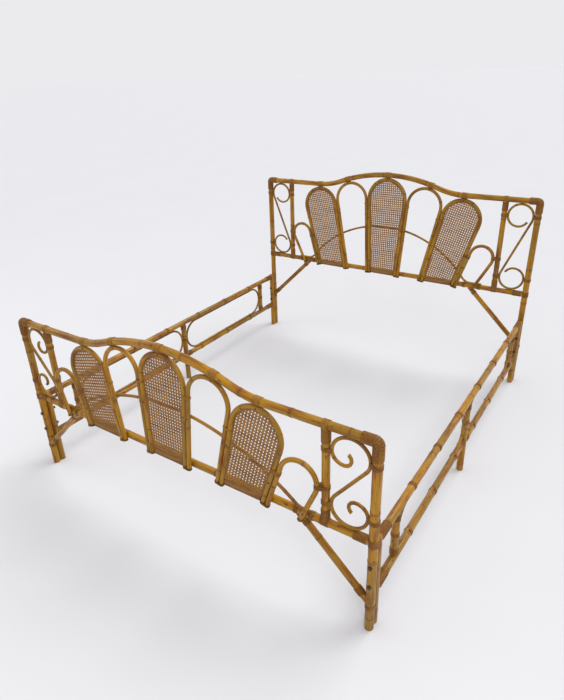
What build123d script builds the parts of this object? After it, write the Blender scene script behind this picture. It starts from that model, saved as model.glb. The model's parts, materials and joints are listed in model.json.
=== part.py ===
from build123d import *
from dataclasses import dataclass
import math
import os

# Plan and heights, in millimetres. Plan sizes are between the axes of the posts.
bed_width = 1700
bed_length = 1960
side_rail_height = 375
side_low_rail_height = 160
stile_spread = 680
inner_upright_inset = 185
side_frame_rise = 15

# Canes, by the radius of each
post_radius = 16
top_rail_radius = 15
low_rail_radius = 14.5
stile_radius = 14
side_rail_radius = 14.5
side_upright_radius = 15
inner_upright_radius = 14
brace_radius = 13
arch_radius = 9
rod_radius = 5
touch = 0.4

# Top rails: level shoulders, a hollow sweep up and a round crown
crown_rise = 82
crown_run = 460
hollow_radius = 430

# Arches: where each leg crosses the low rail, and how far it leans outward
centre_foot = 88
centre_lean = 3.6
open_foot = 246
open_lean = 11.5
side_foot = 450
side_lean = 17
leg_pitch = 2 * arch_radius + 0.6
leg_overrun = 24

# Bow behind the arches: its bend onto the low rail, and how far behind the arches it stands
bow_bend = 60
bow_end = 40
bow_setback = arch_radius + rod_radius + 0.7
bow_level = low_rail_radius + rod_radius - 0.2

# Cane sheets, their border and their gaps
sheet_thickness = 2.4
sheet_clearance = 0.3
sheet_border = 7
sheet_hem = 30
gap_size = 33
gap_pitch = 78

# Bindings of cane peel
wrap_thickness = 2.2
wrap_gap = 0.5
wrap_sides = 6
tie_length = 16
band_length = 28
bend_slack = 2
corner_wrap = 60
corner_drop = 62
stile_top_wrap = 46
stile_foot_wrap = 40
rail_end_wrap = 45
side_end_wrap = 60
post_wrap_reach = 21

# Bolts that join the side frames to the posts
bolt_heights = (205, 290)
bolt_radius = 4
bolt_sides = 6
bolt_hole_radius = 4.3
head_radius = 7
head_thickness = 4
nut_radius = 6.5
nut_thickness = 6

# Canes are drawn with flats, and bends with short chords
pole_sides = 12
arch_sides = 8
rod_sides = 8
rail_turn = 7
arch_turn = 29
rod_turn = 30
bow_turn = 9

half_width = bed_width / 2
half_length = bed_length / 2
upright_setback = post_radius + side_upright_radius + touch


@dataclass
class Board:
    """The sizes in which the two ends of the bed differ."""

    name: str
    y: float
    height: float
    low_height: float
    small_arch_height: float
    small_arch_foot: float
    small_arch_lean: float
    bow_rise: float
    bow_run: float
    brace_run: float
    brace_height: float
    curl_radius: float
    curl_turn: float

    @property
    def level(self):
        return self.height - self.low_height


boards = (
    Board("foot", -half_length, 765, 386, 214, 603, 22.5, 202, 606, 281, 113, 42, 190),
    Board("head", half_length, 1058, 543, 247, 571, 27.3, 268, 546, 316, 232, 50, 190),
)


def save(piece, name):
    piece.label = name
    export_step(piece, f"parts/{name}.step")


def mirrored(piece):
    """The same piece for the other side of the bed."""
    with BuildPart() as twin:
        mirror(piece, about=Plane.YZ)
    return twin.part


def flats(radius, sides):
    """The outline of a cane, as a polygon whose flats are at the radius."""
    with BuildSketch() as outline:
        RegularPolygon(radius, sides, major_radius=False, rotation=180 / sides)
    return outline.sketch


def straight_cane(start, end, radius, across, cut_by=()):
    """A straight cane from start to end, coped round each piece in cut_by."""
    run = Vector(*end) - Vector(*start)
    outline = flats(radius, pole_sides)
    with BuildPart() as cane:
        with BuildSketch(Plane(origin=start, x_dir=across, z_dir=run)):
            add(outline)
        extrude(amount=run.length)
        add(cut_by, mode=Mode.SUBTRACT)
    return cane.part


def chords(path, turn):
    """The corners of a bent cane: the ends of each straight, and points on each arc."""
    corners = [path.edges()[0] @ 0]
    for edge in path.edges():
        bend = 0 if edge.geom_type == GeomType.LINE else math.degrees(edge.length / edge.radius)
        parts = max(1, round(bend / turn))
        corners += [edge @ ((k + 1) / parts) for k in range(parts)]
    return corners


def bent_cane(corners, radius, across, sides, closed=False):
    """A cane bent along the corners, with a mitre at each."""
    outline = flats(radius, sides)
    with BuildPart() as cane:
        with BuildLine():
            Polyline(*corners, close=closed)
        with BuildSketch(Plane(origin=corners[0], x_dir=across, z_dir=corners[1] - corners[0])):
            add(outline)
        sweep(transition=Transition.RIGHT)
    return cane.part


def board_plane(board):
    """The upright plane of a board's posts and rails, from the axis of its low rail."""
    return Plane(origin=(0, board.y, board.low_height), x_dir=(1, 0, 0), z_dir=(0, -1, 0))


def arch_plane(board, setback=0):
    """The plane of the arches: in front of the low rail, and under the top rail at the crown."""
    offset = low_rail_radius + arch_radius + touch
    crown = board.level + crown_rise - top_rail_radius - arch_radius
    lean = math.atan2(offset, crown)
    front = Plane(
        origin=(0, board.y - offset, board.low_height),
        x_dir=(1, 0, 0),
        z_dir=(0, -math.cos(lean), math.sin(lean)),
    )
    return front.offset(-setback)


def swept_crown(plane, level, run, rise, hollow, reach):
    """A line that is level at both ends and rises through two hollows to a round crown."""
    angle = 2 * math.degrees(math.atan2(rise, run))
    crown_radius = run / math.sin(math.radians(angle)) - hollow
    with BuildLine(plane) as path:
        left = Line((-reach, level), (-run, level))
        up = JernArc(left @ 1, left % 1, hollow, angle)
        crown = JernArc(up @ 1, up % 1, crown_radius, -2 * angle)
        down = JernArc(crown @ 1, crown % 1, hollow, angle)
        Line(down @ 1, (reach, level))
    return path.line


# Posts and rails of a board


def top_rail_corners(board):
    path = swept_crown(
        board_plane(board), board.level, crown_run, crown_rise, hollow_radius, half_width + 30
    )
    return chords(path, rail_turn)


def corner_mitre(board, side):
    """The plane through the corner of a board, facing away from its post."""
    return Plane(origin=(side * half_width, board.y, board.height), z_dir=(-side, 0, 1))


def top_rail(board):
    blank = bent_cane(top_rail_corners(board), top_rail_radius, (0, 1, 0), pole_sides)
    with BuildPart() as rail:
        add(blank)
        for side in (-1, 1):
            split(bisect_by=corner_mitre(board, side), keep=Keep.TOP)
    return rail.part


def bolt_holes(board):
    """The holes for the bolts through one post, and through the side frame beside it."""
    inward = 1 if board.y < 0 else -1
    outline = flats(bolt_hole_radius, bolt_sides)
    with BuildPart() as holes:
        for height in bolt_heights:
            place = (half_width, board.y - inward * 60, height)
            with BuildSketch(Plane(origin=place, x_dir=(1, 0, 0), z_dir=(0, inward, 0))):
                add(outline)
            extrude(amount=160)
    return holes.part


def post(board, holes):
    foot = (half_width, board.y, 0)
    blank = straight_cane(foot, (half_width, board.y, board.height + 30), post_radius, (1, 0, 0))
    with BuildPart() as pole:
        add(blank)
        split(bisect_by=corner_mitre(board, 1), keep=Keep.BOTTOM)
        add(holes, mode=Mode.SUBTRACT)
    return pole.part


def low_rail(board, posts):
    ends = [(side * half_width, board.y, board.low_height) for side in (-1, 1)]
    return straight_cane(*ends, low_rail_radius, (0, 1, 0), posts)


def stile(board, rails):
    bottom = (stile_spread, board.y, board.low_height)
    top = (stile_spread, board.y, board.height)
    return straight_cane(bottom, top, stile_radius, (1, 0, 0), rails)


def brace(board, ends):
    top = (half_width - board.brace_run, board.y, board.low_height)
    bottom = (half_width, board.y, board.brace_height)
    return straight_cane(top, bottom, brace_radius, (0, 1, 0), ends)


# Arches


def arch_circle(legs, height):
    """The middle and radius of the round that touches both leaning legs below a height."""
    (left, lean_left), (right, lean_right) = legs
    cos_left, sin_left = math.cos(math.radians(lean_left)), math.sin(math.radians(lean_left))
    cos_right, sin_right = math.cos(math.radians(lean_right)), math.sin(math.radians(lean_right))
    reach_left = left * cos_left + height * sin_left
    reach_right = right * cos_right + height * sin_right
    spread = cos_left * (1 + sin_right) + cos_right * (1 - sin_left)
    radius = (reach_right * cos_left - reach_left * cos_right) / spread
    middle = (reach_left * (1 + sin_right) + reach_right * (1 - sin_left)) / spread
    return (middle, height - radius), radius


def crown_height(legs, board, rail_axis):
    """The height to which an arch rises before it touches the underside of the top rail."""
    height = board.level
    for _ in range(20):
        (x, y), radius = arch_circle(legs, height)
        rail_gap = rail_axis.distance_to((x, board.y, board.low_height + y)) - radius
        height += rail_gap - top_rail_radius - arch_radius - touch
    return height


def arch_path(plane, legs, height):
    """The axis of an arch whose two legs run on below the low rail."""
    (x, y), radius = arch_circle(legs, height)
    leans = [lean for _, lean in legs]
    feet = [
        (foot - leg_overrun * math.tan(math.radians(lean)), -leg_overrun) for foot, lean in legs
    ]
    turn = math.radians(leans[0])
    with BuildLine(plane) as path:
        Line(feet[0], (x - radius * math.cos(turn), y + radius * math.sin(turn)))
        CenterArc((x, y), radius, 180 - leans[0], leans[0] - 90)
        fall = CenterArc((x, y), radius, 90, -90 - leans[1])
        Line(fall @ 1, feet[1])
    return path.line


def beside(leg):
    """The leg that stands beside another, on its outer side."""
    foot, lean = leg
    return foot + leg_pitch / math.cos(math.radians(lean)), lean


def arch_legs(board):
    """The feet and leans of the centre, open, side and small arches."""
    centre = (centre_foot, centre_lean)
    opened = (open_foot, open_lean)
    side = (side_foot, side_lean)
    small = (board.small_arch_foot, board.small_arch_lean)
    return {
        "centre": ((-centre_foot, -centre_lean), centre),
        "open": (beside(centre), opened),
        "side": (beside(opened), side),
        "small": (beside(side), small),
    }


def arch_heights(board, legs):
    rail_axis = Polyline(*top_rail_corners(board))
    heights = {
        name: crown_height(legs[name], board, rail_axis) for name in ("centre", "open", "side")
    }
    heights["small"] = board.small_arch_height
    return heights


def sheet_outline(corners, plane, inset):
    """The shape inside an arch, drawn in from its axis and closed along the bottom."""
    local = [plane.to_local_coords(corner) for corner in corners]
    with BuildSketch() as outline:
        with BuildLine():
            Polyline(*[(point.X, point.Y) for point in local], close=True)
        make_face()
        offset(amount=-inset, kind=Kind.INTERSECTION)
    return outline.sketch


def sheet_gaps(field):
    """The middles of the gaps, in staggered rows that fill the field above the hem."""
    box = field.bounding_box()
    middle = box.center().X
    rows = int((box.size.Y - sheet_hem) / (gap_pitch / 2)) + 1
    columns = int(box.size.X / gap_pitch) + 1
    spots = []
    for row in range(rows):
        for column in range(-columns, columns + 1):
            x = middle + (column + (row % 2) / 2) * gap_pitch
            y = box.max.Y - 4 - row * gap_pitch / 2
            if y > box.min.Y + sheet_hem and field.face().is_inside((x, y, 0)):
                spots.append((x, y))
    return spots


def cane_sheet(corners, plane, cut_by):
    """The woven cane that fills an arch, as one thin sheet with open gaps."""
    inset = arch_radius + sheet_clearance
    outline = sheet_outline(corners, plane, inset)
    field = sheet_outline(corners, plane, inset + sheet_border + gap_size / 2 * math.sqrt(2))
    spots = sheet_gaps(field)
    with BuildPart() as sheet:
        with BuildSketch(plane):
            add(outline)
            with Locations(*spots):
                Rectangle(gap_size, gap_size, rotation=45, mode=Mode.SUBTRACT)
        extrude(amount=sheet_thickness / 2, both=True)
        add(cut_by, mode=Mode.SUBTRACT)
    return sheet.part


# Thin rods


def bow(board):
    """The thin rod that rises behind the arches and lies on the low rail at both ends."""
    plane = arch_plane(board, bow_setback)
    path = swept_crown(
        plane, bow_level, board.bow_run, board.bow_rise, bow_bend, board.small_arch_foot + bow_end
    )
    return bent_cane(chords(path, bow_turn), rod_radius, plane.z_dir, rod_sides)


def scroll_rounds(board):
    """The middle, radius and heights of the two rounds of a scroll."""
    inner, outer = stile_spread + stile_radius, half_width - post_radius
    corner = rod_radius / math.cos(math.radians(rod_turn / 2)) + touch
    middle, radius = (inner + outer) / 2, (outer - inner) / 2 - corner
    top = board.level - top_rail_radius - corner - radius
    bottom = low_rail_radius + corner + radius
    return middle, radius, top, bottom


def scroll(board):
    """A thin rod in the shape of an S, curled in at both ends."""
    middle, radius, top, bottom = scroll_rounds(board)
    swing = 2 * math.degrees(math.atan2(2 * radius, top - bottom))
    sweep_radius = (top - bottom) / 2 / math.sin(math.radians(swing))
    curl, turn = board.curl_radius, board.curl_turn
    with BuildLine(board_plane(board)) as path:
        CenterArc((middle - radius + curl, top), curl, 180 + turn, -turn)
        over = CenterArc((middle, top), radius, 180, -180)
        down = JernArc(over @ 1, over % 1, sweep_radius, -swing)
        JernArc(down @ 1, down % 1, sweep_radius, swing)
        CenterArc((middle, bottom), radius, 180, 180)
        CenterArc((middle + radius - curl, bottom), curl, 0, turn)
    return bent_cane(chords(path.line, rod_turn), rod_radius, (0, 1, 0), rod_sides)


# Side frames, drawn for the side towards the positive end of the width


side_plane = Plane(origin=(half_width, 0, 0), x_dir=(0, 1, 0), z_dir=(1, 0, 0))


def side_upright(y, bottom, top, radius, cut_by=()):
    return straight_cane((half_width, y, bottom), (half_width, y, top), radius, (1, 0, 0), cut_by)


def side_rail(height, start, end, cut_by):
    ends = [(half_width, y, height) for y in (start, end)]
    return straight_cane(*ends, side_rail_radius, (1, 0, 0), cut_by)


def joined(*pieces):
    """Several pieces of one kind, kept as one group."""
    with BuildPart() as group:
        add(pieces, clean=False)
    return group.part


def loop_rounds():
    """The radius of a loop's rounds, how far along they stand, and their height."""
    corner = rod_radius / math.cos(math.radians(rod_turn / 2)) + touch
    gap = side_rail_height - side_low_rail_height - 2 * side_rail_radius
    radius = gap / 2 - corner
    near = side_upright_radius + corner + radius
    far = half_length - inner_upright_inset - inner_upright_radius - corner - radius
    return radius, near, far, (side_rail_height + side_low_rail_height) / 2


def side_loops():
    """Two thin rods bent into long rounds, one each side of the middle leg."""
    radius, near, far, level = loop_rounds()
    with BuildLine(side_plane) as path:
        start = CenterArc((near, level), radius, 90, 180)
        Line(start @ 1, (far, level - radius))
        end = CenterArc((far, level), radius, -90, 180)
        Line(end @ 1, start @ 0)
    corners = chords(path.line, rod_turn)
    loop = bent_cane(corners[:-1], rod_radius, (1, 0, 0), rod_sides, closed=True)
    with BuildPart() as loops:
        add(loop)
        mirror(about=Plane.XZ)
    return loops.part


def side_frame(holes):
    """The pieces of one side frame, by name."""
    end_y = half_length - upright_setback
    inner_y = half_length - inner_upright_inset
    top = side_rail_height + side_frame_rise
    end_uprights = joined(
        *[side_upright(y, 0, top, side_upright_radius) for y in (-end_y, end_y)]
    )
    with BuildPart() as drilled:
        add(end_uprights)
        add(holes, mode=Mode.SUBTRACT)
    top_rail = side_rail(side_rail_height, -end_y, end_y, (end_uprights,))
    leg = side_upright(0, 0, side_rail_height, side_upright_radius, (top_rail,))
    low_rails = joined(
        side_rail(side_low_rail_height, -end_y, 0, (end_uprights, leg)),
        side_rail(side_low_rail_height, 0, end_y, (end_uprights, leg)),
    )
    rails = (top_rail, low_rails)
    bottom, top = side_low_rail_height, side_rail_height
    inner = [side_upright(y, bottom, top, inner_upright_radius, rails) for y in (-inner_y, inner_y)]
    return {
        "side_top_rail": top_rail,
        "side_lower_rails": low_rails,
        "middle_leg": leg,
        "end_uprights": drilled.part,
        "inner_uprights": joined(*inner),
        "side_loops": side_loops(),
    }


# Bindings


def hull(canes, margin):
    """The outline of a binding round canes given by position and radius."""
    corner = 1 / math.cos(math.radians(180 / pole_sides))
    steps = [math.radians((2 * k + 1) * 180 / wrap_sides) for k in range(wrap_sides)]
    points = set()
    for (x, y), radius in canes:
        reach = (radius * corner + margin) / math.cos(math.radians(180 / wrap_sides))
        points |= {(x + reach * math.cos(step), y + reach * math.sin(step)) for step in steps}
    lower, upper = half_hull(sorted(points)), half_hull(sorted(points, reverse=True))
    with BuildSketch() as outline:
        Polygon(*lower[:-1], *upper[:-1], align=None)
    return outline.sketch


def half_hull(points):
    """One side of the line drawn tightly round sorted points."""
    kept = []
    for point in points:
        while len(kept) > 1 and turns_back(kept[-2], kept[-1], point):
            kept.pop()
        kept.append(point)
    return kept


def turns_back(first, second, third):
    """Whether the way from the first point to the third bends clockwise at the second."""
    forward = (second[0] - first[0]) * (third[1] - first[1])
    sideways = (second[1] - first[1]) * (third[0] - first[0])
    return forward - sideways <= 0.001


def wrap(place, length, *canes, cut_by=(), slack=wrap_gap):
    """A binding centred on a place, round canes that run along its normal."""
    outer, inner = hull(canes, slack + wrap_thickness), hull(canes, slack)
    with BuildPart() as band:
        with BuildSketch(place):
            add(outer)
            add(inner, mode=Mode.SUBTRACT)
        extrude(amount=length / 2, both=True)
        add(cut_by, mode=Mode.SUBTRACT)
    return band.part


def upright_wrap(x, y, z, length, *canes, cut_by=()):
    """A binding round upright canes, whose positions are given across and along the bed."""
    return wrap(Plane(origin=(x, y, z)), length, *canes, cut_by=cut_by)


def corner_binding(board):
    """The binding over the corner where a post meets the top rail."""
    bare = post_radius / math.cos(math.radians(180 / pole_sides)) + wrap_gap
    corner = Vector(half_width, board.y, board.height)
    hollow, solid = (
        bent_cane(
            [corner - (corner_wrap + spare, 0, 0), corner, corner - (0, 0, corner_drop + spare)],
            radius,
            (0, 0, 1),
            wrap_sides,
        )
        for radius, spare in ((bare, 1), (bare + wrap_thickness, 0))
    )
    with BuildPart() as elbow:
        add(solid)
        add(hollow, mode=Mode.SUBTRACT)
    return elbow.part


def crown_binding(board, legs, height, plane, rail_axis):
    """The tie that holds the crown of an arch up against the top rail."""
    (x, y), radius = arch_circle(legs, height)
    middle = Vector(x, board.y, board.low_height + y)
    _, on_rail, _ = rail_axis.distance_to_with_closest_points(middle)
    up = (on_rail - middle).normalized()
    place = Plane(origin=on_rail, x_dir=-up, z_dir=up.cross(Vector(0, 1, 0)))
    crown = plane.from_local_coords((x + radius * up.X, y + radius * up.Z))
    offset = place.to_local_coords(crown)
    canes = ((0, 0), top_rail_radius), ((offset.X, offset.Y), arch_radius + 2 * bend_slack)
    return wrap(place, band_length, *canes, slack=bend_slack)


def leg_tie(plane, leg, height):
    """The tie round a leg and the one beside it."""
    foot, lean = leg
    turn = math.radians(lean)
    along = plane.x_dir * math.sin(turn) + plane.y_dir * math.cos(turn)
    across = plane.x_dir * math.cos(turn) - plane.y_dir * math.sin(turn)
    origin = plane.from_local_coords((foot + height * math.tan(turn), height))
    place = Plane(origin=origin, x_dir=across, z_dir=along)
    return wrap(place, tie_length, ((0, 0), arch_radius), ((leg_pitch, 0), arch_radius))


def arch_bindings(board, legs, heights, plane, rail_axis):
    """The ties at the crowns, between neighbouring legs, and from small arch to stile."""
    ties = [
        crown_binding(board, legs[name], heights[name], plane, rail_axis)
        for name in ("open", "side")
    ]
    for inner, outer in (("centre", "open"), ("open", "side"), ("side", "small")):
        (_, spring), _ = arch_circle(legs[outer], heights[outer])
        ties.append(leg_tie(plane, legs[inner][1], spring - tie_length))
    (x, y), radius = arch_circle(legs["small"], heights["small"])
    rod = plane.from_local_coords((x + radius, y))
    reach = (rod.X - stile_spread, rod.Y - board.y)
    canes = ((0, 0), stile_radius), (reach, arch_radius + 2 * bend_slack)
    ties.append(upright_wrap(stile_spread, board.y, rod.Z, tie_length, *canes))
    return ties


def scroll_bindings(board):
    """The four ties that hold a scroll to its stile and its post."""
    _, _, top, bottom = scroll_rounds(board)
    ties = []
    for height in (top, bottom):
        z = board.low_height + height
        for x, radius, towards in (
            (stile_spread, stile_radius, 1),
            (half_width, post_radius, -1),
        ):
            reach = (towards * (radius + rod_radius + touch), 0)
            canes = ((0, 0), radius), (reach, rod_radius + 2 * bend_slack)
            ties.append(upright_wrap(x, board.y, z, tie_length, *canes))
    return ties


def across(x, y, z):
    """A place on a rail that runs across the bed."""
    return Plane(origin=(x, y, z), x_dir=(0, 0, 1), z_dir=(1, 0, 0))


def lengthwise(y, z):
    """A place on a rail that runs along the bed, in a side frame."""
    return Plane(origin=(half_width, y, z), x_dir=(0, 0, 1), z_dir=(0, 1, 0))


def rail_bindings(board, pieces):
    """The bindings along the two rails of a board, for one side."""
    low, y, foot = board.low_height, board.y, board.small_arch_foot
    rail_end = half_width - post_wrap_reach - rail_end_wrap / 2
    end_place = across(foot + 27, y, low)
    bow_plane = arch_plane(board, bow_setback)
    rest = end_place.to_local_coords(bow_plane.from_local_coords((foot + 27, bow_level)))
    cane = ((0, 0), low_rail_radius)
    top_place = across(stile_spread, y, board.height)
    return [
        wrap(top_place, band_length, ((0, 0), top_rail_radius), cut_by=(pieces["stile"],)),
        wrap(across(stile_spread, y, low), band_length, cane, cut_by=(pieces["stile"],)),
        wrap(across(rail_end, y, low), rail_end_wrap, cane),
        wrap(across(board.bow_run - 36, y, low), tie_length, cane, cut_by=(pieces["brace"],)),
        wrap(end_place, tie_length, cane, ((rest.X, rest.Y), rod_radius)),
    ]


def upright_bindings(board, pieces, end_uprights):
    """The bindings round the ends of a stile and round a post."""
    y, low = board.y, board.low_height
    stile_top = board.height - top_rail_radius - 1 - stile_top_wrap / 2
    stile_foot = low + low_rail_radius + 1 + stile_foot_wrap / 2
    stile_cane, post_cane = ((0, 0), stile_radius), ((0, 0), post_radius)
    at_rail, at_brace = (
        upright_wrap(half_width, y, z, length, post_cane, cut_by=(pieces[name], end_uprights))
        for z, length, name in (
            (low, band_length, "low_rail"),
            (board.brace_height - 8, tie_length, "brace"),
        )
    )
    return [
        upright_wrap(stile_spread, y, stile_top, stile_top_wrap, stile_cane),
        upright_wrap(stile_spread, y, stile_foot, stile_foot_wrap, stile_cane),
        at_rail,
        at_brace,
    ]


def brace_bindings(board):
    top = Vector(half_width - board.brace_run, board.y, board.low_height)
    bottom = Vector(half_width, board.y, board.brace_height)
    way = (bottom - top).normalized()
    return [
        wrap(Plane(origin=point, x_dir=(0, 1, 0), z_dir=way), length, ((0, 0), brace_radius))
        for point, length in ((top + way * 54, tie_length), (bottom - way * 56, band_length))
    ]


def board_bindings(board, pieces, end_uprights, centre_tie, arch_ties):
    """Every binding of one board."""
    side = joined(
        corner_binding(board),
        *arch_ties,
        *scroll_bindings(board),
        *rail_bindings(board, pieces),
        *upright_bindings(board, pieces, end_uprights),
        *brace_bindings(board),
    )
    return joined(centre_tie, side, mirrored(side))


def side_bindings():
    """Every binding of one side frame."""
    _, _, _, level = loop_rounds()
    inner_y = half_length - inner_upright_inset
    end = half_length - upright_setback - side_upright_radius - 1 - side_end_wrap / 2
    rail_cane, inner_cane = ((0, 0), side_rail_radius), ((0, 0), inner_upright_radius)
    beside_leg = side_upright_radius + 1 + band_length / 2
    from_rail = side_rail_radius + 1 + band_length / 2
    reach = (0, -inner_upright_radius - rod_radius - touch)
    loop_tie = (inner_cane, (reach, rod_radius + bend_slack))
    half = joined(
        upright_wrap(half_width, inner_y, level, tie_length, *loop_tie),
        wrap(lengthwise(end, side_rail_height), side_end_wrap, rail_cane),
        wrap(lengthwise(end, side_low_rail_height), side_end_wrap, rail_cane),
        wrap(lengthwise(beside_leg, side_low_rail_height), band_length, rail_cane),
        upright_wrap(half_width, inner_y, side_rail_height - from_rail, band_length, inner_cane),
        upright_wrap(half_width, inner_y, side_low_rail_height + from_rail, band_length, inner_cane),
    )
    reach = side_upright_radius + rod_radius + touch
    rods = [((0, side * reach), rod_radius + bend_slack) for side in (-1, 1)]
    leg_cane = ((0, 0), side_upright_radius)
    with BuildPart() as bindings:
        add(half)
        mirror(about=Plane.XZ)
        add(upright_wrap(half_width, 0, level, tie_length, leg_cane, *rods))
        add(upright_wrap(half_width, 0, side_rail_height - from_rail, band_length, leg_cane))
    return bindings.part


# Bolts and nuts


def bolt_place(board, height):
    """The place on a post's outer face where a bolt goes in."""
    inward = 1 if board.y < 0 else -1
    origin = (half_width, board.y - inward * post_radius, height)
    return Plane(origin=origin, x_dir=(1, 0, 0), z_dir=(0, inward, 0))


def bolt(place):
    length = 2 * (post_radius + side_upright_radius) + touch + nut_thickness + 3
    head, shank = flats(head_radius, bolt_sides), flats(bolt_radius, bolt_sides)
    with BuildPart() as piece:
        with BuildSketch(place):
            add(head)
        extrude(amount=-head_thickness)
        with BuildSketch(place):
            add(shank)
        extrude(amount=length)
    return piece.part


def nut(place):
    depth = 2 * (post_radius + side_upright_radius) + touch + 0.1
    outer, inner = flats(nut_radius, bolt_sides), flats(bolt_radius + 0.1, bolt_sides)
    with BuildPart() as piece:
        with BuildSketch(place.offset(depth)):
            add(outer)
            add(inner, mode=Mode.SUBTRACT)
        extrude(amount=nut_thickness)
    return piece.part


def build_board(board, holes, end_uprights):
    """Every piece of one board, saved by name."""
    rail = top_rail(board)
    post_right = post(board, holes)
    low = low_rail(board, (post_right, mirrored(post_right)))
    pieces = {
        "post": post_right,
        "low_rail": low,
        "stile": stile(board, (rail, low)),
        "brace": brace(board, (low, post_right)),
        "scroll": scroll(board),
    }
    plane, legs = arch_plane(board), arch_legs(board)
    heights = arch_heights(board, legs)
    rail_axis = Polyline(*top_rail_corners(board))
    centre_tie = crown_binding(board, legs["centre"], heights["centre"], plane, rail_axis)
    arch_ties = arch_bindings(board, legs, heights, plane, rail_axis)
    near_ties = [centre_tie, *arch_ties, *[mirrored(tie) for tie in arch_ties]]
    arcs = {
        name: chords(arch_path(plane, legs[name], heights[name]), arch_turn) for name in legs
    }
    arches = {
        name: bent_cane(corners, arch_radius, plane.z_dir, arch_sides)
        for name, corners in arcs.items()
    }
    paired = {name: pieces[name] for name in ("post", "stile", "brace", "scroll")}
    paired |= {f"{name}_arch": arches[name] for name in ("open", "side", "small")}
    paired["side_cane"] = cane_sheet(arcs["side"], plane, arch_ties)
    single = {
        "top_rail": rail,
        "lower_rail": low,
        "centre_arch": arches["centre"],
        "centre_cane": cane_sheet(arcs["centre"], plane, near_ties),
        "arc_rod": bow(board),
        "bindings": board_bindings(board, pieces, end_uprights, centre_tie, arch_ties),
    }
    for name, piece in single.items():
        save(piece, f"{board.name}_{name}")
    for name, piece in paired.items():
        save(piece, f"{board.name}_{name}_right")
        save(mirrored(piece), f"{board.name}_{name}_left")


def build():
    os.makedirs("parts", exist_ok=True)
    holes = {board.name: bolt_holes(board) for board in boards}
    frame = side_frame(holes.values())
    frame["side_bindings"] = side_bindings()
    for name, piece in frame.items():
        save(piece, f"right_{name}")
        save(mirrored(piece), f"left_{name}")
    for board in boards:
        build_board(board, holes[board.name], frame["end_uprights"])
    places = [bolt_place(board, height) for board in boards for height in bolt_heights]
    for name, fastener in (("frame_bolts", bolt), ("frame_nuts", nut)):
        group = joined(*[fastener(place) for place in places])
        save(joined(group, mirrored(group)), name)


build()
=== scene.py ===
# %% [markdown]
# A rattan double bed, built around its own CAD frame. The frame holds every cane, rod, tie and
# sheet at its true place, but its canes are drawn with flats. Here each one gets the round,
# ringed cane, the wound ties and the fine open weave that the real bed has.

# %% Load the frame
import bpy
import json
import math
import numpy as np
import random
from mathutils import Matrix, Vector

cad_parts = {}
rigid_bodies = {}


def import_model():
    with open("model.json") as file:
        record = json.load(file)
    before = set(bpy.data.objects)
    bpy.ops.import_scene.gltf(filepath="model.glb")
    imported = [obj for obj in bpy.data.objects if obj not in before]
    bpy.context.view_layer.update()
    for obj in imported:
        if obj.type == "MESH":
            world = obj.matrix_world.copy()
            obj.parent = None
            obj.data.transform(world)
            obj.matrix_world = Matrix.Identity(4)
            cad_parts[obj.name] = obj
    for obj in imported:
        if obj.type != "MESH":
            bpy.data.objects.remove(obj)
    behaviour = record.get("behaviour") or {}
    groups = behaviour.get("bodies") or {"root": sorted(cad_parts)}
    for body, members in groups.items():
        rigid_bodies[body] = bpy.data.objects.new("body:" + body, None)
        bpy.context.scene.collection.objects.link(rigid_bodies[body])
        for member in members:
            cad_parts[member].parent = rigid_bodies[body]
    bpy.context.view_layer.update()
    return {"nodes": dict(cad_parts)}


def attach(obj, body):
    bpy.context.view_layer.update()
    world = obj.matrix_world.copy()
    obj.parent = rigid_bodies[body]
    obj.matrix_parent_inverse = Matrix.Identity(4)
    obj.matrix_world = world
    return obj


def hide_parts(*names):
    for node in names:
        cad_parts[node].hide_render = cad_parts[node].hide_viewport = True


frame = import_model()
random.seed(7)

# %% [markdown]
# The bed is symmetrical, so a few sizes place everything. They are in metres and degrees, and
# plan sizes run between the axes of the posts. The two ends differ only in height and in a few
# bends.

# %% Sizes of the bed
half_width, half_length = 0.850, 0.980
side_rail_height, side_low_rail_height = 0.375, 0.160
stile_spread, inner_upright_y = 0.680, 0.795
post_radius, top_rail_radius, low_rail_radius = 0.016, 0.015, 0.0145
stile_radius, brace_radius, arch_radius, rod_radius = 0.014, 0.013, 0.009, 0.005
side_rail_radius, side_upright_radius, inner_upright_radius = 0.0145, 0.015, 0.014
touch = 0.0004
rod_swell = 0.0012
leg_pitch, leg_overrun = 2 * arch_radius + 0.0006, 0.015
crown_rise, crown_run, hollow_radius = 0.082, 0.460, 0.430
bow_bend, bow_setback = 0.060, arch_radius + rod_radius + 0.0007
bow_level = low_rail_radius + rod_radius - 0.0002
end_upright_y = half_length - post_radius - side_upright_radius - touch

boards = {
    "foot": dict(
        y=-half_length, height=0.765, low=0.386, small_top=0.214, small_foot=0.603,
        small_lean=22.5, bow_rise=0.202, bow_run=0.606, brace_run=0.281, brace_z=0.113,
        curl=0.042, hook=0.025, tip=145,
    ),
    "head": dict(
        y=half_length, height=1.058, low=0.543, small_top=0.247, small_foot=0.571,
        small_lean=27.3, bow_rise=0.268, bow_run=0.546, brace_run=0.316, brace_z=0.232,
        curl=0.056, hook=0.050, tip=62,
    ),
}
print("boards", list(boards))

# %% [markdown]
# Operators act on whatever is selected, and the frame's nodes start out selected. So each step
# first selects just the piece that it works on, and edits all of its points or some of them. What
# comes up again is a copy with a mesh of its own, so that each copy can be cut and bent alone.

# %% Select one piece
def work_on(piece):
    bpy.ops.object.select_all(action="DESELECT")
    piece.select_set(True)
    bpy.context.view_layer.objects.active = piece


def edit(piece):
    work_on(piece)
    bpy.ops.object.mode_set(mode="EDIT")
    bpy.ops.mesh.select_all(action="SELECT")


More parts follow.
